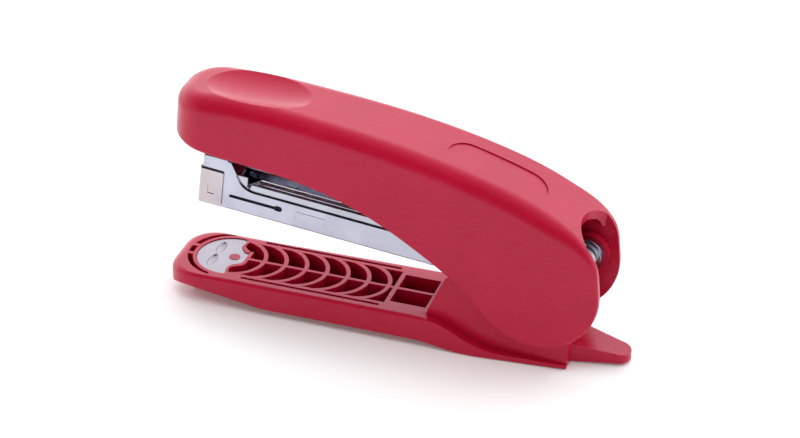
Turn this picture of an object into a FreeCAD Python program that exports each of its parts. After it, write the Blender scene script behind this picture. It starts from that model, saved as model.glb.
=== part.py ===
import FreeCAD, Part
import math
import os
import re
from FreeCAD import Placement, Rotation, Vector

# Hand stapler for a half strip of 24/6 or 26/6 staples, standing on its base
# with the magazine and the handle sprung open.  Millimetres, +X to the hinge
# end, +Z up, origin on the table under the middle of the outline.
#
# Three local frames are used.  "deck": origin at the middle of the anvil
# plate, on the top of the base.  "magazine": origin on the hinge pin, X along
# the magazine, tipped nose-up by magazine_tilt.  "driven": the magazine frame
# turned down again by driver_press, where the blade stands square in the nose.

SIZES = {
    # overall
    "deck_height": 9.5,
    "anvil_from_middle": 52.1,
    "pin_behind_anvil": 103.7,
    "pin_above_deck": 18.0,
    "magazine_tilt": 5.6,
    "driver_press": 4.2,
    # base
    "base_half": 13.2,
    "base_nose": 16.0,
    "base_nose_corner": 9.5,
    "rim_nose": 3.0,
    "rim_step": 1.0,
    "keel_nose": 2.4,
    "keel_step": 0.8,
    "base_step": 62.8,
    "foot_start": 78.0,
    "base_rear": 104.3,
    "foot_rear_half": 10.8,
    "base_inner_half": 10.0,
    "cell_depth": 6.6,
    "rib_radius": 10.0,
    "rib_pitch": 6.33,
    "rib_wall": 1.2,
    "panel_half": 8.6,
    "panel_end": 49.8,
    "spine_half": 0.5,
    "groove_inner": 9.7,
    "groove_width": 1.0,
    "groove_depth": 3.0,
    "bay_start": 51.1,
    "bay_end": 61.8,
    "bay_half": 7.4,
    "cheek_inner": 8.1,
    "cheek_round": 6.4,
    "tongue_root": 6.9,
    "tongue_half": 3.6,
    "tongue_tip": 120.2,
    # anvil
    "anvil_radius": 9.8,
    "anvil_thick": 1.0,
    "anvil_recess": 0.25,
    "stake_radius": 1.6,
    # hinge
    "pin_radius": 1.9,
    "pin_half": 9.9,
    "pin_clearance": 0.06,
    "sleeve_radius": 2.6,
    "sleeve_half": 5.7,
    # magazine
    "sheet": 0.6,
    "frame_half": 7.8,
    "frame_floor": -7.5,
    "frame_top": -0.1,
    "frame_nose": -109.5,
    "neck_top": 8.3,
    "channel_half": 7.15,
    "channel_floor": -6.85,
    "channel_top": 2.1,
    "tab_top": 4.1,
    "tab_end": -96.1,
    "floor_start": -108.3,
    "floor_end": -14.0,
    "ear_radius": 5.4,
    "nose_half": 8.45,
    "nose_front": -110.2,
    "nose_tab_end": -103.1,
    "nose_bottom": -6.9,
    "nose_top": 4.2,
    "nose_bend": 0.9,
    "slot_start": -101.1,
    "slot_end": -84.9,
    "slot_level": -2.8,
    "slot_height": 1.0,
    "slot_eye": 1.7,
    "slot_eye_long": 2.6,
    # staple rail, rod and pusher
    "rail_half": 5.75,
    "rail_sheet": 0.5,
    "rail_top": -0.85,
    "rail_start": -107.6,
    "rail_end": -18.0,
    "rod_radius": 1.2,
    "rod_level": -1.4,
    "rod_low": -3.6,
    "rod_end": -55.0,
    "collar_radius": 2.7,
    "pusher_front": -108.1,
    "pusher_length": 7.6,
    "pusher_half": 6.35,
    "spring_radius": 2.6,
    "spring_wire": 0.5,
    # handle
    "handle_half": 12.45,
    "handle_wall": 2.1,
    "handle_nose_corner": 10.5,
    "handle_edge": 5.0,
    "handle_rim": 0.9,
    "lobe_x": -8.7,
    "lobe_z": -3.6,
    "lobe_radius": 18.2,
    "notch_front": -1.0,
    "notch_side": 3.6,
    "cover_half": 6.45,
    "cover_top": 15.0,
    "cover_bottom": 7.4,
    "cover_front": -107.9,
    "cover_ear": 4.6,
    "blade_front": -109.2,
    "blade_thick": 0.5,
    "blade_half": 6.3,
    "blade_bottom": -7.2,
    "flange_end": -97.5,
    "rivet_x": -102.2,
    "rivet_y": 3.0,
    "rivet_radius": 1.1,
    "rivet_head": 1.8,
    "screw_front": -86.0,
    "screw_rear": -40.0,
    "screw_radius": 1.1,
    "screw_head": 2.2,
    "boss_radius": 2.6,
}

doc = FreeCAD.newDocument("stapler")
sheet = doc.addObject("Spreadsheet::Sheet", "sizes")
for row, (alias, number) in enumerate(SIZES.items(), start=1):
    sheet.set("A%d" % row, alias)
    sheet.set("B%d" % row, str(number))
    sheet.setAlias("B%d" % row, alias)
doc.recompute()


def size(alias):
    """The number in one cell of the sheet."""
    return float(sheet.get(alias))


def bind(thing, **formulas):
    """Tie properties to formulas on the sheet's aliases."""
    for prop, formula in formulas.items():
        text = re.sub(r"[a-z]+(_[a-z]+)+|sheet", lambda m: "sizes." + m.group(0), formula)
        thing.setExpression(prop.replace("__", "."), text)
    return thing


# ---------------------------------------------------------------- placing

PIN = Vector(size("pin_behind_anvil") - size("anvil_from_middle"), 0,
             size("pin_above_deck") + size("deck_height"))
DECK = Placement(Vector(-size("anvil_from_middle"), 0, size("deck_height")), Rotation())
MAGAZINE = Placement(PIN, Rotation(Vector(0, 1, 0), size("magazine_tilt")))
DRIVEN = Placement(PIN, Rotation(Vector(0, 1, 0), size("magazine_tilt") + size("driver_press")))
ACROSS = Rotation(Vector(1, 0, 0), 90)
parts = []


def finish(thing, label, frame):
    """Name a sub-part, put it in its place and add it to the list."""
    thing.Label = label
    thing.Placement = frame
    parts.append(thing)
    return thing


def box(name, x, y, z):
    """A box between three pairs of formulas on the sheet."""
    solid = doc.addObject("Part::Box", name)
    lows = [pair[0] for pair in (x, y, z)]
    spans = ["(%s) - (%s)" % (pair[1], pair[0]) for pair in (x, y, z)]
    bind(solid, Length=spans[0], Width=spans[1], Height=spans[2],
         Placement__Base__x=lows[0], Placement__Base__y=lows[1], Placement__Base__z=lows[2])
    return solid


def cylinder_up(name, radius, x, y, z_low, z_high):
    """An upright cylinder."""
    solid = doc.addObject("Part::Cylinder", name)
    bind(solid, Radius=radius, Height="(%s) - (%s)" % (z_high, z_low),
         Placement__Base__x=x, Placement__Base__y=y, Placement__Base__z=z_low)
    return solid


def cylinder_across(name, radius, x, z, y_low, y_high):
    """A cylinder that lies along Y."""
    solid = doc.addObject("Part::Cylinder", name)
    solid.Placement = Placement(Vector(), Rotation(Vector(1, 0, 0), -90))
    bind(solid, Radius=radius, Height="(%s) - (%s)" % (y_high, y_low),
         Placement__Base__x=x, Placement__Base__y=y_low, Placement__Base__z=z)
    return solid


def cylinder_along(name, radius, x_low, x_high, z):
    """A cylinder that lies along X, in the middle plane."""
    solid = doc.addObject("Part::Cylinder", name)
    solid.Placement = Placement(Vector(), Rotation(Vector(0, 1, 0), 90))
    bind(solid, Radius=radius, Height="(%s) - (%s)" % (x_high, x_low),
         Placement__Base__x=x_low, Placement__Base__z=z)
    return solid


def cut(name, base, *tools):
    """Base less the tools."""
    whole = doc.addObject("Part::Cut", name)
    whole.Base = base
    whole.Tool = tools[0] if len(tools) == 1 else fuse(name + "_tools", *tools)
    return whole


def fuse(name, *solids):
    """One solid of several."""
    whole = doc.addObject("Part::MultiFuse", name)
    whole.Shapes = list(solids)
    return whole


# ------------------------------------------------- sketches and their features

def plane(body, role):
    """One of a body's own origin planes."""
    return next(f for f in body.Origin.OriginFeatures if f.Role == role)


def sketch(body, name, role, curves, offset=0.0):
    """A sketch on an origin plane, or moved off it along the plane's normal."""
    drawing = body.newObject("Sketcher::SketchObject", name)
    drawing.AttachmentSupport = [(plane(body, role), "")]
    drawing.MapMode = "FlatFace"
    drawing.AttachmentOffset = Placement(Vector(0, 0, offset), Rotation())
    for curve in curves:
        drawing.addGeometry(curve, False)
    return drawing


def polygon(*points):
    """Closed run of straight lines."""
    corners = [Vector(x, y, 0) for x, y in points]
    return [Part.LineSegment(a, b) for a, b in zip(corners, corners[1:] + corners[:1])]


def ring(x, y, radius):
    """Full circle."""
    return [Part.Circle(Vector(x, y, 0), Vector(0, 0, 1), radius)]


def round_ended(a, b, level, half):
    """Slot outline about one level, its end arcs centred at a and b."""
    return [Part.LineSegment(Vector(a, level + half, 0), Vector(b, level + half, 0)),
            Part.Arc(Vector(b, level + half, 0), Vector(b + half, level, 0), Vector(b, level - half, 0)),
            Part.LineSegment(Vector(b, level - half, 0), Vector(a, level - half, 0)),
            Part.Arc(Vector(a, level - half, 0), Vector(a - half, level, 0), Vector(a, level + half, 0))]


def spline(points, start=None, end=None):
    """Smooth curve through points, with end directions where they are given."""
    curve = Part.BSplineCurve()
    through = [Vector(x, y, 0) for x, y in points]
    if start is None:
        curve.interpolate(through)
    else:
        curve.interpolate(Points=through, InitialTangent=Vector(*start, 0), FinalTangent=Vector(*end, 0))
    return curve


def pad(body, name, drawing, formula, both_ways=True, reverse=False):
    """Extrude a sketch by a formula on the sheet."""
    feature = body.newObject("PartDesign::Pad", name)
    feature.Profile = drawing
    feature.Midplane = both_ways
    feature.Reversed = reverse
    bind(feature, Length=formula)
    drawing.Visibility = False
    return feature


def pocket(body, name, drawing, formula=None, both_ways=True, reverse=False):
    """Cut a sketch through the body, or as deep as a formula says."""
    before = body.Shape.Volume
    feature = body.newObject("PartDesign::Pocket", name)
    feature.Profile = drawing
    feature.Midplane = both_ways
    feature.Reversed = reverse
    if formula is None:
        feature.Type = "ThroughAll"
    else:
        bind(feature, Length=formula)
    doc.recompute()
    if body.Shape.Volume >= before:
        raise RuntimeError(name + " cuts nothing")
    return feature


def fillet(body, name, radius, chosen):
    """Round the edges that a test picks."""
    doc.recompute()
    base = body.Tip
    names = ["Edge%d" % i for i, edge in enumerate(base.Shape.Edges, start=1) if chosen(edge)]
    feature = body.newObject("PartDesign::Fillet", name)
    feature.Base = (base, names)
    bind(feature, Radius=radius)
    doc.recompute()
    return feature


def new_body(name):
    """An empty PartDesign body."""
    return doc.addObject("PartDesign::Body", name)


def upright(edge):
    """True for a straight edge along Z."""
    ends = [v.Point for v in edge.Vertexes]
    return len(ends) == 2 and abs(ends[0].x - ends[1].x) + abs(ends[0].y - ends[1].y) < 1e-4


def tangent_point(x, z, radius, upper):
    """Where a line from (x, z) touches a circle about the origin."""
    distance = math.hypot(x, z)
    turn = math.acos(radius / distance)
    angle = math.atan2(z, x) + (-turn if upper else turn)
    return radius * math.cos(angle), radius * math.sin(angle)


# -------------------------------------------------------------------- base

def base_outline():
    """Plan of the base: round nose, straight sides, foot drawn in at the back."""
    nose, half, corner = -size("base_nose"), size("base_half"), size("base_nose_corner")
    foot, rear, narrow = size("foot_start"), size("base_rear"), size("foot_rear_half")
    curves = []
    for side in (1, -1):
        centre = Vector(nose + corner, side * (half - corner), 0)
        start, end = (90, 180) if side > 0 else (180, 270)
        circle = Part.Circle(centre, Vector(0, 0, 1), corner)
        curves.append(Part.ArcOfCircle(circle, math.radians(start), math.radians(end)))
        flank = [Vector(nose + corner, side * half, 0), Vector(foot, side * half, 0),
                 Vector(rear, side * narrow, 0)]
        curves += [Part.LineSegment(a, b) for a, b in zip(flank, flank[1:])]
    curves.append(Part.LineSegment(Vector(nose, half - corner, 0), Vector(nose, corner - half, 0)))
    curves.append(Part.LineSegment(Vector(rear, narrow, 0), Vector(rear, -narrow, 0)))
    return curves


def side_tool(name, curves, formula, offset=0.0, both_ways=True, reverse=False):
    """A cutting tool with its outline in the side view."""
    body = new_body(name)
    drawing = sketch(body, name + "_side", "XZ_Plane", curves, offset)
    pad(body, name + "_pad", drawing, formula, both_ways, reverse)
    return body


def run_of_lines(*points):
    """Open run of straight lines."""
    corners = [Vector(x, y, 0) for x, y in points]
    return [Part.LineSegment(a, b) for a, b in zip(corners, corners[1:])]


def slab(name, corner, along, across):
    """A thick plate under the plane through three points, for a slanting cut."""
    long, wide, thick = 80, 60, 12
    corner, along, across = Vector(*corner), Vector(*along), Vector(*across)
    length = (along - corner).normalize()
    down = length.cross(across - corner).normalize()
    if down.z > 0:
        down = -down
    plate = doc.addObject("Part::Box", name)
    plate.Length = long
    plate.Width = wide
    plate.Height = thick
    turn = Rotation(length, down.cross(length), down, "ZXY")
    plate.Placement = Placement(corner - length * (long / 2) - down.cross(length) * (wide / 2), turn)
    return plate


def make_base_block():
    """Body of the base: round rim that sharpens to the foot, and a chamfered keel."""
    body = new_body("base_block")
    deck, foot = size("deck_height"), size("foot_start")
    plan = sketch(body, "base_plan", "XY_Plane", base_outline())
    pad(body, "base_pad", plan, "deck_height", both_ways=False, reverse=True)
    doc.recompute()
    edges = []
    for number, edge in enumerate(body.Shape.Edges, start=1):
        ends = [v.Point for v in edge.Vertexes]
        if abs(ends[0].z - ends[-1].z) > 0.1 or min(e.x for e in ends) > foot + 1:
            continue
        if edge.BoundBox.XMax > size("base_rear") - 0.1 and edge.BoundBox.XLength < 0.1:
            continue
        high = edge.BoundBox.ZMin > -0.1
        kind = "rim" if high else "keel"
        nose, step = size(kind + "_nose"), size(kind + "_step")
        radii = [nose + (step - nose) * min(1.0, max(0.0, (e.x + 6.5) / (foot + 6.5))) for e in ends]
        edges.append((number, radii[0], radii[-1]))
    rounded = doc.addObject("Part::Fillet", "base_rounded")
    rounded.Base = body
    rounded.Edges = edges

    waist = [spline([(-3.0, -deck), (4.0, -8.1), (12.0, -7.4)], (5, 0.4), (9, 0))]
    waist += run_of_lines((12.0, -7.4), (60.0, -7.4))
    waist += [spline([(60.0, -7.4), (68.0, -8.4), (75.0, -deck)], (8, 0), (7, -1.2))]
    waist += run_of_lines((75.0, -deck), (75.0, -deck - 2), (-3.0, -deck - 2), (-3.0, -deck))
    tools = [side_tool("base_waist", waist, "4 * base_half")]
    heel = polygon((88.0, -deck), (110.0, -deck + 0.6), (110.0, -deck - 2), (88.0, -deck - 2))
    tools.append(side_tool("base_heel", heel, "4 * base_half"))
    for side, name in ((1, "shelf_far"), (-1, "shelf_near")):
        fall = [(61.0, 0.0), (68.8, -1.4), (76.3, -5.1), (83.0, -7.0), (92.0, -7.6)]
        shelf = [spline(fall, (5, 0), (9, -0.3))]
        shelf += run_of_lines((92.0, -7.6), (110.0, -8.2), (110.0, 2), (61.0, 2), (61.0, 0.0))
        tools.append(side_tool(name, shelf, "base_half", -side * size("base_inner_half"), False, side > 0))
    tools.append(slab("keel_front", (-16.6, 0, -3.8), (-16.6, 1, -3.8), (-9.6, 0, -deck)))
    half = size("base_half")
    for side, name in ((1, "keel_far"), (-1, "keel_near")):
        rim = (-3.0, side * half, -4.8)
        tools.append(slab(name, rim, (16.0, side * half, -7.7), (-3.0, side * 6.4, -deck)))
    return cut("base_shaped", rounded, *tools)


def make_cheeks():
    """Two walls that rise from the base and hold the hinge pin."""
    body = new_body("base_cheeks")
    x, z = size("pin_behind_anvil"), size("pin_above_deck")
    top = tangent_point(69.5 - x, 14.5 - z, size("cheek_round"), True)
    back = tangent_point(97.5 - x, -1.0 - z, size("cheek_round"), False)
    outline = polygon((62.9, -1.0), (63.0, 0.6), (68.2, 12.6), (71.0, 15.0), (top[0] + x, top[1] + z),
                      (x, z), (back[0] + x, back[1] + z), (97.5, -1.0))
    pad(body, "cheek_pad", sketch(body, "cheek_side", "XZ_Plane", outline), "2 * base_inner_half")
    eye = sketch(body, "cheek_eye", "XZ_Plane", ring(x, z, size("cheek_round")))
    pad(body, "cheek_eye_pad", eye, "2 * base_inner_half")
    doc.recompute()
    gap = polygon((60.0, -2.0), (115.0, -2.0), (115.0, 30.0), (60.0, 30.0))
    pocket(body, "cheek_gap", sketch(body, "cheek_gap_side", "XZ_Plane", gap), "2 * cheek_inner")
    bore = ring(x, z, size("pin_radius") + 0.02)
    pocket(body, "cheek_bore", sketch(body, "cheek_bore_side", "XZ_Plane", bore))
    return body


def make_tongue():
    """Flat tapered tongue at the back of the foot, for lifting staples out."""
    tip, deck = size("tongue_tip"), size("deck_height")
    side = polygon((100.0, -3.0), (104.3, -3.6), (tip, -6.3), (tip, -deck + 0.8), (100.0, -deck + 0.3))
    plate = side_tool("tongue_plate", side, "4 * tongue_root")
    body = new_body("tongue_outline")
    root, half = size("tongue_root"), size("tongue_half")
    neck = tip - half * 1.05
    curves = run_of_lines((neck, -half), (100.0, -root), (100.0, root), (neck, half))
    curves.append(Part.Arc(Vector(neck, half, 0), Vector(tip, 0, 0), Vector(neck, -half, 0)))
    pad(body, "tongue_outline_pad", sketch(body, "tongue_plan", "XY_Plane", curves), "4 * deck_height")
    tongue = doc.addObject("Part::Common", "base_tongue")
    tongue.Base = plate
    tongue.Tool = body
    return tongue


def make_base_cells():
    """The hollow cells in the top of the base, with the ribs left between them."""
    field = box("rib_field", ("2.0", "panel_end"), ("-panel_half", "panel_half"), ("-cell_depth", "1"))
    ribs = [box("rib_spine", ("2.0", "panel_end"), ("-spine_half", "spine_half"), ("-cell_depth - 1", "2"))]
    for k in range(7):
        middle = "rib_pitch * %d + 0.9" % k
        outer = cylinder_up("rib_outer_%d" % k, "rib_radius", middle, "0", "-cell_depth - 1", "2")
        inner = cylinder_up("rib_inner_%d" % k, "rib_radius - rib_wall", middle, "0",
                            "-cell_depth - 2", "3")
        wall = cut("rib_wall_%d" % k, outer, inner)
        half = box("rib_half_%d" % k, (middle, middle + " + rib_radius"),
                   ("-panel_half - 2", "panel_half + 2"), ("-cell_depth - 2", "3"))
        arc = doc.addObject("Part::Common", "rib_arc_%d" % k)
        arc.Base = wall
        arc.Tool = half
        ribs.append(arc)
    seat_wall = new_body("anvil_seat_wall")
    drawing = sketch(seat_wall, "anvil_seat_plan", "XY_Plane", anvil_outline(size("rib_wall")))
    pad(seat_wall, "anvil_seat_wall_pad", drawing, "4 * cell_depth")
    ribs.append(seat_wall)
    cells = cut("rib_cells", field, *ribs)

    inner = cylinder_up("nose_ring", "anvil_radius + rib_wall", "0", "0", "-cell_depth - 1", "3")
    crescent = doc.addObject("Part::Cylinder", "nose_crescent")
    bind(crescent, Radius="base_half - 1.5", Height="cell_depth + 1",
         Placement__Base__x="-0.9", Placement__Base__z="-cell_depth")
    bridges = [box("nose_bridge_%d" % k, ("-20", "0"), ("%s - 0.6" % y, "%s + 0.6" % y), ("-20", "5"))
               for k, y in enumerate(("-2.2", "2.4"))]
    back = box("nose_back", ("-2.5", "20"), ("-20", "20"), ("-20", "5"))
    slots = cut("nose_slots", crescent, inner, back, *bridges)

    grooves = []
    for name, low, high in (("near", "-groove_inner - groove_width", "-groove_inner"),
                            ("far", "groove_inner", "groove_inner + groove_width")):
        grooves.append(box("groove_" + name, ("7", "panel_end - 1"), (low, high), ("-groove_depth", "1")))
    bays = [box("bay_near", ("bay_start", "bay_end"), ("-bay_half", "-spine_half"), ("-cell_depth", "1")),
            box("bay_far", ("bay_start", "bay_end"), ("spine_half", "bay_half"), ("-cell_depth", "1"))]
    well = box("spring_well", ("base_step + 2", "101"), ("-cheek_inner + 1", "cheek_inner - 1"),
               ("-cell_depth", "1"))
    return fuse("base_hollows", cells, slots, well, *(grooves + bays))


def anvil_outline(grow):
    """Round front, two waists and a rear lobe about the stake; grow makes the seat."""
    radius = size("anvil_radius") + grow
    shoulder = radius * math.cos(math.radians(6))
    rear = 4.5 + grow
    front = Part.Arc(Vector(0.3, -shoulder, 0), Vector(-radius, 0, 0), Vector(0.3, shoulder, 0))
    out = 0.8 * grow
    waist = [(1.5 + out, 8.4), (1.2 + out, 6.2), (2.0 + out, 4.3 + out), (3.9 + out, 2.9 + out)]
    far = spline([(0.3, shoulder)] + waist + [(rear, 0)], (3, 0), (0, -4))
    near = spline([(rear, 0)] + [(x, -y) for x, y in reversed(waist)] + [(0.3, -shoulder)], (0, -4), (-3, 0))
    return [front, far, near]


def make_base():
    """The moulded base: block, cheeks and tongue in one, less its hollows."""
    whole = fuse("base_solid", make_base_block(), make_cheeks(), make_tongue())
    seat = new_body("anvil_pocket")
    pad(seat, "anvil_pocket_pad", sketch(seat, "anvil_pocket_plan", "XY_Plane", anvil_outline(0.14)),
        "2 * (anvil_thick + anvil_recess)")
    stake = cylinder_up("stake", "stake_radius", "1.2", "0", "-anvil_thick - anvil_recess - 1",
                        "-anvil_recess + 0.1")
    hollow = cut("base_hollow", whole, make_base_cells(), seat)
    finish(fuse("base_shell", hollow, stake), "base_shell", DECK)


def make_anvil():
    """Steel plate with two pairs of grooves that curl the staple's legs."""
    body = new_body("anvil_blank")
    curves = anvil_outline(0.0) + ring(1.2, 0, size("stake_radius") + 0.05)
    plan = sketch(body, "anvil_plan", "XY_Plane", curves, offset=-size("anvil_recess"))
    pad(body, "anvil_pad", plan, "anvil_thick", both_ways=False, reverse=True)
    doc.recompute()
    dents = []
    for k, y in enumerate((-3.5, 3.5)):
        dent = doc.addObject("Part::Ellipsoid", "anvil_dent_%d" % k)
        dent.Radius1 = 0.75
        dent.Radius2 = 3.3
        dent.Radius3 = 1.25
        centre = Vector(-4.3, y, 0.1 - size("anvil_recess"))
        dent.Placement = Placement(centre, Rotation(Vector(0, 0, 1), 90))
        dents.append(dent)
    finish(cut("anvil_finished", body, *dents), "anvil_plate", DECK)


# ------------------------------------------------------------------- hinge

def make_hinge():
    """Pin through the cheeks, sleeve on it, and the two torsion springs."""
    rod = new_body("hinge_rod")
    drawing = sketch(rod, "hinge_rod_side", "XZ_Plane", ring(0, 0, size("pin_radius")))
    pad(rod, "hinge_rod_pad", drawing, "2 * pin_half")
    finish(rod, "pivot_pin", MAGAZINE)
    bore = cylinder_across("sleeve_bore", "pin_radius + pin_clearance", "0", "0", "-20", "20")
    sleeve = cylinder_across("sleeve_tube", "sleeve_radius", "0", "0", "-sleeve_half", "sleeve_half")
    finish(cut("sleeve_solid", sleeve, bore), "spring_sleeve", MAGAZINE)


def leg(name, start, end, y):
    """Straight wire leg of a torsion spring."""
    a, b = Vector(start[0], y, start[1]), Vector(end[0], y, end[1])
    solid = doc.addObject("Part::Cylinder", name)
    solid.Radius = TORSION_WIRE / 2
    solid.Height = a.distanceToPoint(b)
    solid.Placement = Placement(a, Rotation(Vector(0, 0, 1), b - a))
    return solid


def make_torsion_spring(label, y_low, y_high, legs, frame):
    """Coil about the sleeve, drawn as a plain tube, with its two legs."""
    outer = cylinder_across(label + "_outer", "sleeve_radius + 1.0", "0", "0", str(y_low), str(y_high))
    inner = cylinder_across(label + "_inner", "sleeve_radius + 0.3", "0", "0", str(y_low - 1),
                            str(y_high + 1))
    coil = cut(label + "_coil", outer, inner)
    wires = [leg("%s_leg_%d" % (label, k), *ends) for k, ends in enumerate(legs)]
    finish(fuse(label + "_whole", coil, *wires), label, frame)


# ---------------------------------------------------------------- magazine

def make_frame():
    """Outer channel of the magazine: low walls, a neck at the nose, round ears."""
    body = new_body("magazine_frame")
    nose, floor, top = size("frame_nose"), size("frame_floor"), size("frame_top")
    ear, neck = size("ear_radius"), size("neck_top")
    upper = tangent_point(-19.0, top, ear, True)
    lower = tangent_point(-12.0, floor, ear, False)
    side = [Part.LineSegment(Vector(-98.6, 2.6, 0), Vector(-101.6, neck - 0.6, 0)),
            Part.LineSegment(Vector(-101.6, neck - 0.6, 0), Vector(-102.6, neck, 0)),
            Part.LineSegment(Vector(-102.6, neck, 0), Vector(nose, neck, 0)),
            Part.LineSegment(Vector(nose, neck, 0), Vector(nose, floor, 0)),
            Part.LineSegment(Vector(nose, floor, 0), Vector(-12.0, floor, 0)),
            Part.LineSegment(Vector(-12.0, floor, 0), Vector(*lower, 0)),
            Part.Arc(Vector(*lower, 0), Vector(ear, 0, 0), Vector(*upper, 0)),
            Part.LineSegment(Vector(*upper, 0), Vector(-19.0, top, 0)),
            Part.LineSegment(Vector(-19.0, top, 0), Vector(-93.6, top, 0)),
            spline([(-93.6, top), (-96.3, 0.5), (-98.6, 2.6)], (-4, 0), (-1.6, 3.0))]
    pad(body, "frame_pad", sketch(body, "frame_side", "XZ_Plane", side), "2 * frame_half")
    doc.recompute()
    fillet(body, "frame_bends", "sheet + 0.2",
           lambda e: e.BoundBox.ZMax < floor + 0.01 and e.BoundBox.XLength > 50)
    hollow_channel(body, "frame", "frame_half", floor)
    return body


def hollow_channel(body, name, half, floor):
    """Open a channel's inside, its staple exit, its rear end and its hinge hole."""
    inside, sheet_thick = size(half) - size("sheet"), size("sheet")
    room = polygon((-inside, floor + sheet_thick), (inside, floor + sheet_thick), (inside, 30), (-inside, 30))
    pocket(body, name + "_room", sketch(body, name + "_section", "YZ_Plane", room))
    end = size("floor_end")
    rear = polygon((end, -inside), (20, -inside), (20, inside), (end, inside))
    pocket(body, name + "_rear", sketch(body, name + "_rear_plan", "XY_Plane", rear))
    front = size("floor_start")
    mouth = polygon((-115, -inside), (front, -inside), (front, inside), (-115, inside))
    pocket(body, name + "_exit", sketch(body, name + "_exit_plan", "XY_Plane", mouth))
    hole = ring(0, 0, size("pin_radius") + size("pin_clearance"))
    pocket(body, name + "_bore", sketch(body, name + "_bore_side", "XZ_Plane", hole))


def window(body, name, lift, height):
    """Long sight slot with a wider eye at its rear end, through both walls."""
    level, start, end = size("slot_level") + lift, size("slot_start"), size("slot_end")
    eye, eye_long = size("slot_eye"), size("slot_eye_long")
    for part, left, tall in (("slot", start, height), ("eye", end - eye_long, eye)):
        half = tall / 2
        a, b = left + half, end - half
        curves = round_ended(a, b, level, half)
        pocket(body, name + "_" + part, sketch(body, name + "_" + part + "_side", "XZ_Plane", curves))


def staple_mark(body):
    """Plain outline of a staple, engraved in the near wall."""
    left, right, top, legs, line = -81.0, -71.8, -1.9, -4.2, 0.28
    outline = polygon((left, legs), (left, top), (right, top), (right, legs), (right - line, legs),
                      (right - line, top - line), (left + line, top - line), (left + line, legs))
    drawing = sketch(body, "staple_mark_side", "XZ_Plane", outline, offset=size("frame_half"))
    pocket(body, "staple_mark", drawing, "sheet / 6", both_ways=False, reverse=False)


def make_channel():
    """Inner channel: taller walls, with a raised tab and a relief behind it."""
    body = new_body("magazine_channel")
    nose, floor, top = size("frame_nose"), size("channel_floor"), size("channel_top")
    ear, tab, tab_end = size("ear_radius"), size("tab_top"), size("tab_end")
    upper = tangent_point(-19.0, top, ear, True)
    lower = tangent_point(-12.0, floor, ear, False)
    side = [Part.LineSegment(Vector(nose, tab, 0), Vector(nose, floor, 0)),
            Part.LineSegment(Vector(nose, floor, 0), Vector(-12.0, floor, 0)),
            Part.LineSegment(Vector(-12.0, floor, 0), Vector(*lower, 0)),
            Part.Arc(Vector(*lower, 0), Vector(ear, 0, 0), Vector(*upper, 0)),
            Part.LineSegment(Vector(*upper, 0), Vector(-19.0, top, 0)),
            Part.LineSegment(Vector(-19.0, top, 0), Vector(tab_end + 1.4, top, 0)),
            Part.LineSegment(Vector(tab_end + 1.4, top, 0), Vector(tab_end + 1.0, top - 0.9, 0)),
            Part.Arc(Vector(tab_end + 1.0, top - 0.9, 0), Vector(tab_end + 0.4, top - 1.5, 0),
                     Vector(tab_end, top - 0.8, 0)),
            Part.LineSegment(Vector(tab_end, top - 0.8, 0), Vector(tab_end, tab, 0)),
            Part.LineSegment(Vector(tab_end, tab, 0), Vector(nose, tab, 0))]
    pad(body, "channel_pad", sketch(body, "channel_side", "XZ_Plane", side), "2 * channel_half")
    doc.recompute()
    hollow_channel(body, "channel", "channel_half", floor)
    return body


def make_nose_plate():
    """Nickelled plate that wraps the nose, with a dimple in each side tab."""
    body = new_body("nose_plate")
    half, inner, front = size("nose_half"), size("frame_half") + 0.05, size("nose_front")
    wall, end = front + size("sheet"), size("nose_tab_end")
    plan = polygon((front, -half), (end, -half), (end, -inner), (wall, -inner), (wall, inner), (end, inner),
                   (end, half), (front, half))
    drawing = sketch(body, "nose_plan", "XY_Plane", plan, offset=size("nose_bottom"))
    pad(body, "nose_pad", drawing, "nose_top - nose_bottom", both_ways=False)
    doc.recompute()
    fillet(body, "nose_bends", "nose_bend", lambda e: upright(e) and e.CenterOfMass.x < front + 0.01)
    fillet(body, "nose_corners", "sheet", lambda e: e.BoundBox.YLength < 1 and e.BoundBox.YLength > 0.3
           and e.CenterOfMass.x > end - 0.01 and e.BoundBox.ZLength < 0.01 and e.BoundBox.XLength < 0.01)
    for side, name in ((1, "far"), (-1, "near")):
        dimple = polygon((-107.4, -3.4), (-105.4, -3.4), (-105.4, -0.8), (-107.4, -0.8))
        drawing = sketch(body, "dimple_" + name, "XZ_Plane", dimple, offset=-side * half)
        pocket(body, "dimple_cut_" + name, drawing, "sheet / 3", both_ways=False, reverse=side > 0)
    return body


def make_rail():
    """Upright channel that the staple strip straddles."""
    body = new_body("staple_rail")
    half, thick = size("rail_half"), size("rail_sheet")
    low, top = size("channel_floor") + size("sheet"), size("rail_top")
    section = polygon((-half, low), (half, low), (half, top), (half - thick, top),
                      (half - thick, low + thick), (thick - half, low + thick), (thick - half, top), (-half, top))
    drawing = sketch(body, "rail_section", "YZ_Plane", section, offset=size("rail_start"))
    pad(body, "rail_pad", drawing, "rail_end - rail_start", both_ways=False)
    doc.recompute()
    pierce_floor(body, "rail_holes")
    return body


def pierce_floor(body, name):
    """Rivet holes in the floor of a channel or of the rail."""
    holes = []
    for x in RAIL_RIVETS:
        holes += ring(x, 0, size("rivet_radius") + 0.02)
    pocket(body, name, sketch(body, name + "_plan", "XY_Plane", holes))


def make_rail_rivets():
    """Rivets that clamp rail, channel and frame together, heads flush below."""
    low, seat = "frame_floor", "channel_floor + sheet + rail_sheet"
    rivets = []
    for k, x in enumerate(RAIL_RIVETS):
        shank = cylinder_up("rail_rivet_%d" % k, "rivet_radius", str(x), "0", low, seat + " + 0.1")
        head = cylinder_up("rail_rivet_head_%d" % k, "rivet_head", str(x), "0", seat, seat + " + 0.4")
        rivets.append(fuse("rail_rivet_whole_%d" % k, shank, head))
    group = doc.addObject("Part::Compound", "rail_rivet_group")
    group.Links = rivets
    finish(group, "rail_rivets", MAGAZINE)


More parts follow.
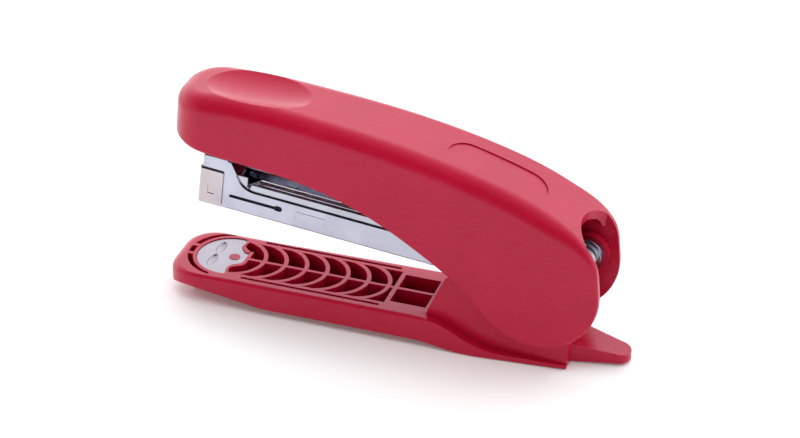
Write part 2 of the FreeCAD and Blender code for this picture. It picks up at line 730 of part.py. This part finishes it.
def make_rod_guide():
    """Small upright plate that carries the rod."""
    low, wide = "channel_floor + sheet + rail_sheet", ("-rail_half + rail_sheet", "rail_half - rail_sheet")
    plate = box("guide_plate", ("-60.4", "-59.6"), wide, (low, "rod_level + 2.4"))
    foot = box("guide_foot", ("-63.6", "-60.2"), wide, (low, low + " + 0.6"))
    hole = cylinder_along("guide_hole", "rod_radius + 0.08", "-62", "-58", "rod_level")
    finish(fuse("guide_whole", cut("guide_drilled", plate, hole), foot), "rod_guide", MAGAZINE)


def make_spring_stop():
    """Plate and peg at the hinge end that the pusher spring leans on."""
    plate = box("stop_plate", ("rail_end + 0.1", "rail_end + 0.9"), ("-rail_half", "rail_half"),
                ("channel_floor + sheet", "rod_level + 3.2"))
    peg = cylinder_along("stop_peg", "spring_radius - spring_wire - 0.4", "rail_end - 7", "rail_end + 0.5",
                         "rod_level")
    finish(fuse("stop_whole", plate, peg), "spring_stop", MAGAZINE)


# ------------------------------------------------------------------ pusher

def make_pusher():
    """Saddle that rides on the rail and drives the strip forward."""
    front, rear = "pusher_front", "pusher_front + pusher_length"
    cap = box("pusher_cap", (front, rear), ("-pusher_half", "pusher_half"),
              ("channel_floor + sheet + 0.4", "0.2"))
    room = box("pusher_room", (front + " - 1", rear + " + 1"), ("-rail_half - 0.15", "rail_half + 0.15"),
               ("channel_floor", "rail_top + 0.15"))
    tang = box("pusher_tang", (front + " + 3", rear), ("-2.4", "2.4"), ("rod_low - 1.4", "rail_top + 0.3"))
    hole = cylinder_along("pusher_hole", "rod_radius", front, rear + " + 1", "rod_low")
    block = cut("pusher_drilled", tang, hole)
    finish(fuse("pusher_whole", cut("pusher_saddle", cap, room), block), "pusher", MAGAZINE)


def make_pusher_rod():
    """Bent rod: low in the pusher, stepping up and running back to a collar."""
    low, level, start = size("rod_low"), size("rod_level"), size("pusher_front")
    rise, bend = -95.8, 1.6
    points = [Vector(start + 3.2, 0, low), Vector(rise - bend, 0, low), Vector(rise + bend, 0, level),
              Vector(size("rod_end"), 0, level)]
    runs = [Part.LineSegment(a, b).toShape() for a, b in zip(points, points[1:])]
    profile = Part.Wire(Part.Circle(points[0], Vector(1, 0, 0), size("rod_radius")).toShape())
    rod = Part.Wire(runs).makePipeShell([profile], True, False, 1)
    seat = Vector(size("rod_end") - 1.4, 0, level)
    collar = Part.makeCylinder(size("collar_radius"), 0.8, seat, Vector(1, 0, 0))
    solid = doc.addObject("Part::Feature", "pusher_rod_solid")
    solid.Shape = rod.fuse(collar).removeSplitter()
    finish(solid, "pusher_rod", MAGAZINE)


def make_pusher_spring():
    """Compression spring behind the collar, drawn as a plain tube."""
    start, end = "rod_end - 0.55", "rail_end + 0.05"
    outer = cylinder_along("pusher_spring_outer", "spring_radius", start, end, "rod_level")
    inner = cylinder_along("pusher_spring_inner", "spring_radius - spring_wire", start + " - 1", end + " + 1",
                           "rod_level")
    finish(cut("pusher_spring_tube", outer, inner), "pusher_spring", MAGAZINE)


# ------------------------------------------------------------------ handle

def handle_outline(inset):
    """Side of the handle: arched back, round lobe, curved lower edge.

    With an inset it is the outline of the hollow, open downwards."""
    cx, cz, radius = size("lobe_x"), size("lobe_z"), size("lobe_radius") - inset
    start, end = math.radians(12), math.radians(-128)
    e0 = (cx + radius * math.cos(start), cz + radius * math.sin(start))
    e1 = (cx + radius * math.cos(end), cz + radius * math.sin(end))
    crown = [(-120.2 + inset, 26.6 - inset), (-104, 29.0 - inset), (-82, 29.6 - inset), (-60, 28.75 - inset),
             (-39, 26.5 - inset), (-20 - 0.3 * inset, 22.9 - inset), (-8.0 - 0.4 * inset, 19.1 - inset)]
    shoulder = [crown[-1], (0.8 - 0.5 * inset, 15.2 - inset), (6.3 - 0.8 * inset, 10.0 - 0.7 * inset), e0]
    curves = [spline(crown, (20, 3.4), (11, -4.2)),
              spline(shoulder, (11, -4.2), (9 * math.sin(start), -9 * math.cos(start)))]
    if inset:
        drop = [e0, (e0[0], -40), (crown[0][0], -40), crown[0]]
        return curves + [Part.LineSegment(Vector(*a, 0), Vector(*b, 0)) for a, b in zip(drop, drop[1:])]
    middle = (start + end) / 2
    back = Vector(cx + radius * math.cos(middle), cz + radius * math.sin(middle), 0)
    curves.append(Part.Arc(Vector(*e0, 0), back, Vector(*e1, 0)))
    lower = [e1, (-30, -9.4), (-42, -2.2), (-58, 5.0), (-74, 9.2), (-90, 10.8), (-106, 11.2), (-119.8, 13.0)]
    curves.append(spline(lower, (14 * math.sin(end), -14 * math.cos(end)), (-14, 2.2)))
    curves.append(Part.LineSegment(Vector(*lower[-1], 0), Vector(*crown[0], 0)))
    return curves


def make_handle():
    """The moulded handle: rounded shell, thumb dish, label oval and rear notch."""
    body = new_body("handle_body")
    pad(body, "handle_pad", sketch(body, "handle_side", "XZ_Plane", handle_outline(0.0)), "2 * handle_half")
    fillet(body, "handle_nose_round", "handle_nose_corner",
           lambda e: e.CenterOfMass.x < -119 and e.BoundBox.ZLength > 10 and e.BoundBox.YLength < 0.01)
    edges = []
    wide, rim = size("handle_edge"), size("handle_rim")
    for number, edge in enumerate(body.Shape.Edges, start=1):
        bounds = edge.BoundBox
        if bounds.YLength > 20 or (bounds.ZLength > 8 and bounds.XLength < 1):
            continue
        if bounds.ZMin > 18.5:
            edges.append((number, wide, wide))
        elif bounds.ZMax > 18.5:
            falling = edge.Vertexes[0].Point.z > edge.Vertexes[-1].Point.z
            edges.append((number, wide, rim) if falling else (number, rim, wide))
        else:
            edges.append((number, rim, rim))
    outside = doc.addObject("Part::Fillet", "handle_outside")
    outside.Base = body
    outside.Edges = edges

    hollow = new_body("handle_hollow")
    inner = "2 * (handle_half - handle_wall)"
    drawing = sketch(hollow, "hollow_side", "XZ_Plane", handle_outline(size("handle_wall")))
    pad(hollow, "hollow_pad", drawing, inner)
    fillet(hollow, "hollow_nose_round", "handle_nose_corner - handle_wall",
           lambda e: e.CenterOfMass.x < -117 and e.BoundBox.ZLength > 10 and e.BoundBox.YLength < 0.01)
    fillet(hollow, "hollow_top_round", "handle_edge - handle_wall",
           lambda e: e.BoundBox.ZMin > 15 and e.BoundBox.YLength < 15 and e.Length > 10)

    notch = make_notch()
    inside = ("handle_wall - handle_half", "handle_half - handle_wall")
    cheek_room = box("cheek_room", ("-12", "30"), inside, ("-40", "9"))
    dish = doc.addObject("Part::Ellipsoid", "thumb_dish")
    dish.Radius1 = 9.0
    dish.Radius2 = 31.0
    dish.Radius3 = 15.5
    dish.Placement = Placement(Vector(-101.0, 0, 36.35), Rotation(Vector(0, 1, 0), -1.2))
    oval = make_label_oval()
    shell = cut("handle_open", outside, hollow, notch, cheek_room, dish, oval)

    driven = Placement(Vector(), Rotation(Vector(0, 1, 0), size("driver_press")))
    pillars, holes = [], []
    for k, x in enumerate(("screw_front", "screw_rear")):
        pillars.append(cylinder_up("pillar_%d" % k, "boss_radius", x, "0", "cover_top", "cover_top + 12"))
        holes.append(cylinder_up("pillar_hole_%d" % k, "screw_radius", x, "0", "cover_top - 1",
                                 "cover_top + 3.2"))
    posts = fuse("pillars", *pillars)
    posts.Placement = driven
    trimmed = doc.addObject("Part::Common", "pillars_trimmed")
    trimmed.Base = posts
    trimmed.Tool = make_pillar_limit()
    drill = fuse("pillar_holes", *holes)
    drill.Placement = driven
    finish(cut("handle_done", fuse("handle_with_pillars", shell, trimmed), drill), "handle_shell", MAGAZINE)


def make_notch():
    """Scooped opening over the hinge, across the whole inside width."""
    body = new_body("rear_notch")
    half = size("handle_half") - size("handle_wall")
    front, side = size("notch_front"), size("notch_side")
    curves = run_of_lines((side, half), (30, half), (30, -half), (side, -half))
    curves.append(Part.Arc(Vector(side, -half, 0), Vector(front, 0, 0), Vector(side, half, 0)))
    pad(body, "notch_pad", sketch(body, "notch_plan", "XY_Plane", curves), "80")
    return body


def make_pillar_limit():
    """Space under the crown that the screw pillars may fill."""
    body = new_body("pillar_space")
    outline = handle_outline(size("handle_wall") / 2)
    pad(body, "pillar_space_pad", sketch(body, "pillar_space_side", "XZ_Plane", outline), "2 * boss_radius")
    return body


def make_label_oval():
    """Shallow oval recess on the back, left plain."""
    body = new_body("label_oval")
    outline = round_ended(-9.0, 9.0, 0.0, 6.0)
    pad(body, "oval_pad", sketch(body, "oval_plan", "XY_Plane", outline), "20", both_ways=False)
    floor = new_body("oval_floor")
    inner = sketch(floor, "oval_floor_side", "XZ_Plane", handle_outline(0.35))
    pad(floor, "oval_floor_pad", inner, "2 * handle_half")
    body.Placement = Placement(Vector(-28.8, 0, 12.0), Rotation(Vector(0, 1, 0), 11.0))
    return cut("oval_cut", body, floor)


def make_cover_frame():
    """Steel spine of the handle: inverted channel from the hinge to the blade."""
    body = new_body("cover_frame")
    top, bottom, front, ear = size("cover_top"), size("cover_bottom"), size("cover_front"), size("cover_ear")
    upper = tangent_point(-24.0, top - 1.0, ear, True)
    lower = tangent_point(-24.0, bottom, ear, False)
    side = [Part.LineSegment(Vector(front, top, 0), Vector(-30.0, top, 0)),
            Part.LineSegment(Vector(-30.0, top, 0), Vector(-24.0, top - 1.0, 0)),
            Part.LineSegment(Vector(-24.0, top - 1.0, 0), Vector(*upper, 0)),
            Part.Arc(Vector(*upper, 0), Vector(ear * 0.8, -ear * 0.6, 0), Vector(*lower, 0)),
            Part.LineSegment(Vector(*lower, 0), Vector(-24.0, bottom, 0)),
            Part.LineSegment(Vector(-24.0, bottom, 0), Vector(front, bottom, 0)),
            Part.LineSegment(Vector(front, bottom, 0), Vector(front, top, 0))]
    pad(body, "cover_pad", sketch(body, "cover_side", "XZ_Plane", side), "2 * cover_half")
    doc.recompute()
    inside, thick = size("cover_half") - size("sheet"), size("sheet")
    room = polygon((-inside, -20), (inside, -20), (inside, top - 1.3 * thick), (-inside, top - 1.3 * thick))
    pocket(body, "cover_room", sketch(body, "cover_section", "YZ_Plane", room))
    rear = polygon((-27.0, -inside), (20, -inside), (20, inside), (-27.0, inside))
    pocket(body, "cover_rear", sketch(body, "cover_rear_plan", "XY_Plane", rear))
    hole = ring(0, 0, size("pin_radius") + size("pin_clearance"))
    pocket(body, "cover_bore", sketch(body, "cover_bore_side", "XZ_Plane", hole))
    holes = []
    for y in (-size("rivet_y"), size("rivet_y")):
        holes += ring(size("rivet_x"), y, size("rivet_radius") + 0.02)
    for x in (size("screw_front"), size("screw_rear")):
        holes += ring(x, 0, size("screw_radius") + 0.1)
    pocket(body, "cover_holes", sketch(body, "cover_hole_plan", "XY_Plane", holes))
    return body


def make_driver_blade():
    """Spring steel blade that drives the staple, folded back under the spine."""
    body = new_body("driver_blade")
    front, thick = size("blade_front"), size("blade_thick")
    shelf = size("cover_top") - 1.3 * size("sheet") - 0.02
    tip, end = size("blade_bottom"), size("flange_end")
    side = polygon((front, tip), (front + thick, tip), (front + thick, shelf - thick), (end, shelf - thick),
                   (end, shelf), (front, shelf))
    pad(body, "blade_pad", sketch(body, "blade_side", "XZ_Plane", side), "2 * blade_half")
    doc.recompute()
    trim = size("blade_half")
    ledge = size("cover_half") - size("sheet") - 0.15
    for side_sign in (1, -1):
        strip = polygon((size("cover_front") - 0.1, side_sign * ledge), (-90, side_sign * ledge),
                        (-90, side_sign * (trim + 1)), (size("cover_front") - 0.1, side_sign * (trim + 1)))
        name = "blade_trim_far" if side_sign > 0 else "blade_trim_near"
        pocket(body, name, sketch(body, name + "_plan", "XY_Plane", strip))
    holes = []
    for y in (-size("rivet_y"), size("rivet_y")):
        holes += ring(size("rivet_x"), y, size("rivet_radius") + 0.02)
    pocket(body, "blade_holes", sketch(body, "blade_hole_plan", "XY_Plane", holes))
    return body


def make_driver_rivets():
    """Two rivets through the blade's flange and the spine."""
    rivets = []
    low = "cover_top - 1.3 * sheet - blade_thick - 0.02"
    for k, y in enumerate(("-rivet_y", "rivet_y")):
        shank = cylinder_up("driver_rivet_%d" % k, "rivet_radius", "rivet_x", y, low + " - 0.1",
                            "cover_top + 0.1")
        foot = cylinder_up("driver_rivet_foot_%d" % k, "rivet_head", "rivet_x", y, low + " - 0.6", low)
        head = cylinder_up("driver_rivet_head_%d" % k, "rivet_head", "rivet_x", y, "cover_top",
                           "cover_top + 0.7")
        rivets.append(fuse("driver_rivet_whole_%d" % k, shank, foot, head))
    group = doc.addObject("Part::Compound", "driver_rivet_group")
    group.Links = rivets
    finish(group, "driver_rivets", DRIVEN)


def make_handle_screws():
    """Two screws from below, through the spine into the shell's pillars."""
    screws = []
    low = "cover_top - 1.3 * sheet"
    for k, x in enumerate(("screw_front", "screw_rear")):
        shank = cylinder_up("screw_%d" % k, "screw_radius - 0.05", x, "0", low + " - 0.1", "cover_top + 3.0")
        head = cylinder_up("screw_head_%d" % k, "screw_head", x, "0", low + " - 1.5", low)
        slot = box("screw_slot_%d" % k, (x + " - 3", x + " + 3"), ("-0.3", "0.3"),
                   (low + " - 2", low + " - 0.9"))
        screws.append(cut("screw_whole_%d" % k, fuse("screw_blank_%d" % k, shank, head), slot))
    group = doc.addObject("Part::Compound", "screw_group")
    group.Links = screws
    finish(group, "handle_screws", DRIVEN)


# ------------------------------------------------------------------- build

TORSION_WIRE = 0.7
RAIL_RIVETS = (-88.0, -40.0)

make_base()
make_anvil()
make_hinge()
coil = size("sleeve_radius") + 0.65
make_torsion_spring("lift_spring", -5.4, -0.4,
                    [((0.0, -coil), (-15.0, -21.0), -5.0), ((0.0, -coil), (-13.0, -8.1), -0.8),
                     ((-13.0, -8.1), (-24.0, -8.1), -0.8)], MAGAZINE)
make_torsion_spring("handle_spring", 0.4, 5.4,
                    [((0.0, -coil), (-13.0, -5.0), 0.8), ((0.0, coil), (-31.0, 16.0), 5.0)], MAGAZINE)
frame_body = make_frame()
pierce_floor(frame_body, "frame_rivet_holes")
window(frame_body, "frame_window", 0.0, size("slot_height"))
staple_mark(frame_body)
finish(frame_body, "magazine_frame", MAGAZINE)
channel_body = make_channel()
pierce_floor(channel_body, "channel_rivet_holes")
window(channel_body, "channel_window", 0.35, size("slot_height"))
finish(channel_body, "magazine_channel", MAGAZINE)
finish(make_nose_plate(), "nose_plate", MAGAZINE)
finish(make_rail(), "staple_rail", MAGAZINE)
make_rail_rivets()
make_rod_guide()
make_spring_stop()
make_pusher()
make_pusher_rod()
make_pusher_spring()
make_handle()
finish(make_cover_frame(), "cover_frame", DRIVEN)
finish(make_driver_blade(), "driver_blade", DRIVEN)
make_driver_rivets()
make_handle_screws()
doc.recompute()

broken = [thing.Label for thing in doc.Objects if "Invalid" in thing.State or "Error" in thing.State]
broken += [part.Label for part in parts if part.Shape.isNull() or not part.Shape.isValid()]
if broken:
    raise RuntimeError("failed: " + ", ".join(broken))

os.makedirs("parts", exist_ok=True)
for part in parts:
    part.Shape.exportStep("parts/%s.step" % part.Label)
    print("%-18s %9.1f mm3  %d solid(s)" % (part.Label, part.Shape.Volume, len(part.Shape.Solids)))
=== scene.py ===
import math

import bpy
from mathutils import Matrix, Vector


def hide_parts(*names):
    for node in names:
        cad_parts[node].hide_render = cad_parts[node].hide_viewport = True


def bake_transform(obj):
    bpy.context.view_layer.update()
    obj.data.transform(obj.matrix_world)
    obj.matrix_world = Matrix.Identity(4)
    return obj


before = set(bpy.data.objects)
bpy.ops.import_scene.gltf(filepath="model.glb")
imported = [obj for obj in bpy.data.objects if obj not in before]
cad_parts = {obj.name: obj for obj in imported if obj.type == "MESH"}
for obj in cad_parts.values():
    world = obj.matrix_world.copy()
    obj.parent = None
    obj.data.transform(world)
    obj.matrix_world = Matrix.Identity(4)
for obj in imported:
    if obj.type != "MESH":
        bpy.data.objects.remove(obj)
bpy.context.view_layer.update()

# ---------------------------------------------------------------- the base
# One red moulding: hollow ribbed nose, two cheeks for the hinge and a flat
# tongue behind.  Polished mould, so it is glossy with a faint orange peel.


def shader(material):
    """The material's own shader and the means to add and join nodes."""
    material.use_nodes = True
    tree = material.node_tree
    return tree.nodes["Principled BSDF"], tree.nodes, tree.links


def speckle(nodes, links, scale, stretch=(1, 1, 1), turn=(0, 0, 0), detail=3.0):
    """Noise that sits on the piece, stretched along the way it was rolled or drawn."""
    place = nodes.new("ShaderNodeTexCoord")
    mapping = nodes.new("ShaderNodeMapping")
    mapping.inputs["Scale"].default_value = stretch
    mapping.inputs["Rotation"].default_value = turn
    noise = nodes.new("ShaderNodeTexNoise")
    noise.inputs["Scale"].default_value = scale
    noise.inputs["Detail"].default_value = detail
    links.new(place.outputs["Object"], mapping.inputs["Vector"])
    links.new(mapping.outputs["Vector"], noise.inputs["Vector"])
    return noise.outputs["Fac"]


def spread(nodes, links, value, low, high, start=0.3, end=0.7):
    """Turns a noise value into a number between low and high."""
    reach = nodes.new("ShaderNodeMapRange")
    reach.inputs["From Min"].default_value = start
    reach.inputs["From Max"].default_value = end
    reach.inputs["To Min"].default_value = low
    reach.inputs["To Max"].default_value = high
    links.new(value, reach.inputs["Value"])
    return reach.outputs["Result"]


def tint(nodes, links, value, first, second):
    """Turns a noise value into a colour between two close shades."""
    ramp = nodes.new("ShaderNodeValToRGB")
    ramp.color_ramp.elements[0].position = 0.3
    ramp.color_ramp.elements[1].position = 0.7
    ramp.color_ramp.elements[0].color = (*first, 1)
    ramp.color_ramp.elements[1].color = (*second, 1)
    links.new(value, ramp.inputs["Fac"])
    return ramp.outputs["Color"]


def bump(nodes, links, value, strength, distance):
    """Surface relief from a value."""
    relief = nodes.new("ShaderNodeBump")
    relief.inputs["Strength"].default_value = strength
    relief.inputs["Distance"].default_value = distance
    links.new(value, relief.inputs["Height"])
    return relief


def red_moulding(name, gloss_low, gloss_high):
    """Red polystyrene: even colour, soft gloss, faint orange peel and fine scuffs."""
    material = bpy.data.materials.new(name)
    skin, nodes, links = shader(material)
    cloud = speckle(nodes, links, 60, detail=2.0)
    peel = speckle(nodes, links, 900, detail=2.0)
    scuff = speckle(nodes, links, 260, stretch=(0.25, 1, 1), detail=6.0)
    colour = tint(nodes, links, cloud, (0.405, 0.0040, 0.024), (0.445, 0.0054, 0.030))
    links.new(colour, skin.inputs["Base Color"])
    links.new(spread(nodes, links, scuff, gloss_low, gloss_high), skin.inputs["Roughness"])
    fine = bump(nodes, links, peel, 0.10, 0.00008)
    links.new(fine.outputs["Normal"], skin.inputs["Normal"])
    skin.inputs["IOR"].default_value = 1.41
    skin.inputs["Specular Tint"].default_value = (0.80, 0.72, 1.0, 1)
    skin.inputs["Subsurface Weight"].default_value = 0.08
    skin.inputs["Subsurface Radius"].default_value = (0.0025, 0.0006, 0.0006)
    return material


def dress(node, material):
    """Puts a finish on a piece of the frame."""
    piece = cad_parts[node]
    for place in piece.material_slots:
        place.material = material
    return piece


dress("base_shell", red_moulding("base_red", 0.22, 0.34))

# --------------------------------------------------------------- the anvil
# Dull nickel-plated steel plate, stamped with a pair of grooves and held
# down by a red stub that was melted over its hole.


def plated_steel(name, first, second, rough_low, rough_high, grain, turn=(0, 0, 0)):
    """Bright plated steel with a fine grain along its length and faint handling marks."""
    material = bpy.data.materials.new(name)
    skin, nodes, links = shader(material)
    skin.inputs["Metallic"].default_value = 1.0
    lines = speckle(nodes, links, 700, stretch=grain, turn=turn, detail=4.0)
    marks = speckle(nodes, links, 130, detail=5.0)
    links.new(tint(nodes, links, marks, first, second), skin.inputs["Base Color"])
    links.new(spread(nodes, links, marks, rough_low, rough_high), skin.inputs["Roughness"])
    relief = bump(nodes, links, lines, 0.12, 0.00003)
    links.new(relief.outputs["Normal"], skin.inputs["Normal"])
    return material


anvil_nickel = plated_steel("anvil_nickel", (0.24, 0.22, 0.25), (0.30, 0.27, 0.31), 0.24, 0.34, (1, 0.12, 1))
dress("anvil_plate", anvil_nickel)

# ------------------------------------------------------------ the magazine
# Two bright steel channels, one in the other, riveted to the rail that the
# staples straddle.  Rolled strip, so the grain runs along the magazine.

TILT = math.radians(5.6)
ALONG = (0, TILT, 0)
ROLLED = (0.06, 1, 1)
strip_steel = plated_steel("magazine_steel", (0.43, 0.44, 0.53), (0.53, 0.54, 0.63), 0.16, 0.26,
                           ROLLED, ALONG)
inner_steel = plated_steel("channel_steel", (0.42, 0.43, 0.50), (0.52, 0.53, 0.60), 0.12, 0.22,
                           ROLLED, ALONG)
bright_steel = plated_steel("bright_steel", (0.60, 0.60, 0.63), (0.72, 0.72, 0.74), 0.12, 0.22,
                            (0.3, 1, 1), ALONG)
dress("magazine_frame", strip_steel)
dress("magazine_channel", inner_steel)
for node in ("staple_rail", "rod_guide", "spring_stop", "pusher"):
    dress(node, inner_steel)
for node in ("pusher_rod", "rail_rivets", "pivot_pin"):
    dress(node, bright_steel)

# ---------------------------------------------------------- the nose plate
# Thicker nickelled plate round the nose, warmer than the channels, with a
# small locking dimple pressed in each side.

nose_nickel = plated_steel("nose_nickel", (0.47, 0.41, 0.44), (0.57, 0.51, 0.54), 0.18, 0.28,
                           (1, 1, 0.15), ALONG)
dress("nose_plate", nose_nickel)

# ------------------------------------------------------ springs and sleeve
# Hard-drawn wire coils on a white plastic sleeve round the hinge pin, and a
# long coil behind the pusher.

natural = bpy.data.materials.new("sleeve_white")
skin, nodes, links = shader(natural)
mottle = speckle(nodes, links, 300)
links.new(tint(nodes, links, mottle, (0.72, 0.71, 0.67), (0.80, 0.79, 0.76)), skin.inputs["Base Color"])
links.new(spread(nodes, links, mottle, 0.40, 0.55), skin.inputs["Roughness"])
dress("spring_sleeve", natural)

wire_steel = plated_steel("spring_wire", (0.42, 0.42, 0.44), (0.56, 0.56, 0.58), 0.20, 0.32, (1, 1, 1))
HINGE = Vector((0.0516, 0, 0.0275))
WIRE, COIL = 0.0007, 0.00325


def deselect():
    """Nothing stays picked for the next operator."""
    bpy.ops.object.select_all(action="DESELECT")


def settle(piece):
    """Leaves a piece's place in its mesh, with its object at the origin."""
    deselect()
    piece.select_set(True)
    bpy.context.view_layer.objects.active = piece
    bpy.ops.object.transform_apply(location=True, rotation=True, scale=True)


def coil(name, radius, wire, turns, length):
    """Close-wound or open coil along its own Z, ends closed."""
    deselect()
    bpy.ops.mesh.primitive_circle_add(vertices=10, radius=wire / 2, rotation=(math.pi / 2, 0, 0))
    piece = bpy.context.object
    piece.name = name
    bpy.ops.object.transform_apply(location=True, rotation=True, scale=True)
    bpy.ops.object.mode_set(mode="EDIT")
    bpy.ops.mesh.select_all(action="SELECT")
    bpy.ops.transform.translate(value=(radius, 0, 0))
    bpy.ops.object.mode_set(mode="OBJECT")
    winding = piece.modifiers.new("winding", "SCREW")
    winding.axis = "Z"
    winding.angle = math.tau
    winding.iterations = turns
    winding.screw_offset = length / turns
    winding.steps = 28
    winding.render_steps = 28
    bpy.ops.object.modifier_apply(modifier="winding")
    bpy.ops.object.mode_set(mode="EDIT")
    bpy.ops.mesh.select_all(action="SELECT")
    bpy.ops.mesh.fill_holes(sides=0)
    bpy.ops.mesh.select_all(action="SELECT")
    bpy.ops.mesh.normals_make_consistent(inside=False)
    bpy.ops.object.mode_set(mode="OBJECT")
    return piece


def wire_leg(start, end, wire):
    """Straight end of a spring, with its tip broken by a small bevel."""
    start, end = Vector(start), Vector(end)
    line = end - start
    deselect()
    bpy.ops.mesh.primitive_cylinder_add(vertices=10, radius=wire / 2, depth=line.length,
                                        location=(start + end) / 2,
                                        rotation=line.to_track_quat("Z", "Y").to_euler())
    leg = bpy.context.object
    tip = leg.modifiers.new("tip", "BEVEL")
    tip.width = wire / 8
    tip.limit_method = "ANGLE"
    bpy.ops.object.modifier_apply(modifier="tip")
    settle(leg)
    return leg


def joined(name, pieces, material):
    """Several meshes made one piece with its finish."""
    deselect()
    for piece in pieces:
        piece.select_set(True)
    bpy.context.view_layer.objects.active = pieces[0]
    bpy.ops.object.join()
    whole = pieces[0]
    whole.name = name
    whole.data.materials.clear()
    whole.data.materials.append(material)
    bpy.ops.object.shade_smooth_by_angle(angle=math.radians(40))
    return whole


def beside_hinge(x, y, z):
    """A point given along the magazine from the hinge, in millimetres."""
    along = x * math.cos(TILT) + z * math.sin(TILT)
    above = z * math.cos(TILT) - x * math.sin(TILT)
    return HINGE + Vector((along, y, above)) / 1000


def torsion_coil(name, y_low, y_high):
    """Coil of a torsion spring round the sleeve."""
    piece = coil(name, COIL, WIRE, 6, (y_high - y_low - WIRE * 1000) / 1000)
    piece.rotation_euler = (-math.pi / 2, 0, 0)
    piece.location = HINGE + Vector((0, y_low / 1000 + WIRE / 2, 0))
    settle(piece)
    return piece


lift = joined("lift_spring_wire", [
    torsion_coil("lift_coil", -5.4, -0.4),
    wire_leg(beside_hinge(-0.6, -5.0, -3.2), beside_hinge(-15.0, -5.0, -21.0), WIRE),
    wire_leg(beside_hinge(0.0, -0.8, -3.25), beside_hinge(-13.0, -0.8, -8.1), WIRE),
    wire_leg(beside_hinge(-12.9, -0.8, -8.1), beside_hinge(-24.0, -0.8, -8.1), WIRE),
], wire_steel)
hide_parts("lift_spring")
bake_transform(lift)

press = joined("handle_spring_wire", [
    torsion_coil("press_coil", 0.4, 5.4),
    wire_leg(beside_hinge(0.0, 0.8, -3.25), beside_hinge(-13.0, 0.8, -5.0), WIRE),
    wire_leg(beside_hinge(0.0, 5.0, 3.25), beside_hinge(-31.0, 5.0, 16.0), WIRE),
], wire_steel)
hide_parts("handle_spring")
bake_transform(press)

feed_coil = coil("feed_coil", 0.00235, 0.0005, 14, 0.0370)
feed_coil.rotation_euler = (0, math.pi / 2 + TILT, 0)
feed_coil.location = beside_hinge(-55.25, 0, -1.4)
settle(feed_coil)
feed = joined("pusher_spring_wire", [feed_coil], wire_steel)
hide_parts("pusher_spring")
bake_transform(feed)

# -------------------------------------------------------------- the handle
# Red shell like the base, over a steel spine that carries the driver blade.

dress("handle_shell", red_moulding("handle_red", 0.20, 0.32))
dress("cover_frame", strip_steel)
for node in ("driver_blade", "driver_rivets", "handle_screws"):
    dress(node, bright_steel)

# ------------------------------------------------------ floor, light, view
# White table that glows faintly, one large soft light overhead, weaker ones
# at the left and in front, and a sky that is bright behind, dim overhead and
# dark in front.

deselect()
bpy.ops.mesh.primitive_plane_add(size=12, location=(0, 0, 0))
table = bpy.context.object
table.name = "table_top"
paper = bpy.data.materials.new("white_paper")
skin, nodes, links = shader(paper)
skin.inputs["Base Color"].default_value = (0.93, 0.93, 0.93, 1)
skin.inputs["Roughness"].default_value = 0.95
skin.inputs["Emission Color"].default_value = (1, 1, 1, 1)
skin.inputs["Emission Strength"].default_value = 0.05
table.data.materials.append(paper)

world = bpy.data.worlds.new("studio")
bpy.context.scene.world = world
bpy.context.scene.view_settings.view_transform = "Standard"
world.use_nodes = True
nodes, links = world.node_tree.nodes, world.node_tree.links
sky = nodes["Background"]
sky.inputs["Color"].default_value = (0.97, 0.98, 1, 1)
heading = nodes.new("ShaderNodeTexCoord")
split = nodes.new("ShaderNodeSeparateXYZ")
lowered = nodes.new("ShaderNodeMath")
lowered.operation = "MULTIPLY_ADD"
lowered.inputs[1].default_value = -0.9
glow = nodes.new("ShaderNodeMapRange")
glow.interpolation_type = "SMOOTHSTEP"
glow.inputs["From Min"].default_value = -1.3
glow.inputs["From Max"].default_value = 0.35
glow.inputs["To Min"].default_value = 0.03
glow.inputs["To Max"].default_value = 2.3
links.new(heading.outputs["Generated"], split.inputs["Vector"])
links.new(split.outputs["Z"], lowered.inputs[0])
links.new(split.outputs["Y"], lowered.inputs[2])
links.new(lowered.outputs["Value"], glow.inputs["Value"])
links.new(glow.outputs["Result"], sky.inputs["Strength"])


def soft_light(name, place, width, height, watts):
    """A rectangular light turned to the stapler, which lights it but isn't mirrored in it."""
    lamp = bpy.data.lights.new(name, "AREA")
    lamp.shape = "RECTANGLE"
    lamp.size = width
    lamp.size_y = height
    lamp.energy = watts
    lamp.specular_factor = 0.0
    holder = bpy.data.objects.new(name, lamp)
    bpy.context.scene.collection.objects.link(holder)
    holder.location = place
    heading_in = Vector((0, 0, 0.03)) - Vector(place)
    holder.rotation_euler = heading_in.to_track_quat("-Z", "Y").to_euler()
    holder.visible_glossy = False


soft_light("overhead", (0.0, -0.1, 0.9), 1.2, 1.0, 5.2)
soft_light("left", (-0.8, -0.35, 0.35), 0.6, 0.6, 1.2)
soft_light("front", (0.2, -0.9, 0.25), 0.8, 0.5, 1.6)

AZIMUTH, ELEVATION, ROLL = math.radians(18.25), math.radians(30.9), math.radians(0.95)
DISTANCE = 0.84352
aim = Vector((-0.00072, 0, 0.03239))
away = Vector((math.sin(AZIMUTH) * math.cos(ELEVATION), -math.cos(AZIMUTH) * math.cos(ELEVATION),
               math.sin(ELEVATION)))
level = Vector((math.cos(AZIMUTH), math.sin(AZIMUTH), 0))
rise = away.cross(level)
right = level * math.cos(ROLL) + rise * math.sin(ROLL)
up = rise * math.cos(ROLL) - level * math.sin(ROLL)
lens = bpy.data.cameras.new("view")
lens.lens = 135
lens.sensor_width = 36
lens.clip_start = 0.05
camera = bpy.data.objects.new("view", lens)
bpy.context.scene.collection.objects.link(camera)
place = aim + away * DISTANCE
camera.matrix_world = Matrix(((right.x, up.x, away.x, place.x), (right.y, up.y, away.y, place.y),
                              (right.z, up.z, away.z, place.z), (0, 0, 0, 1)))
bpy.context.scene.camera = camera
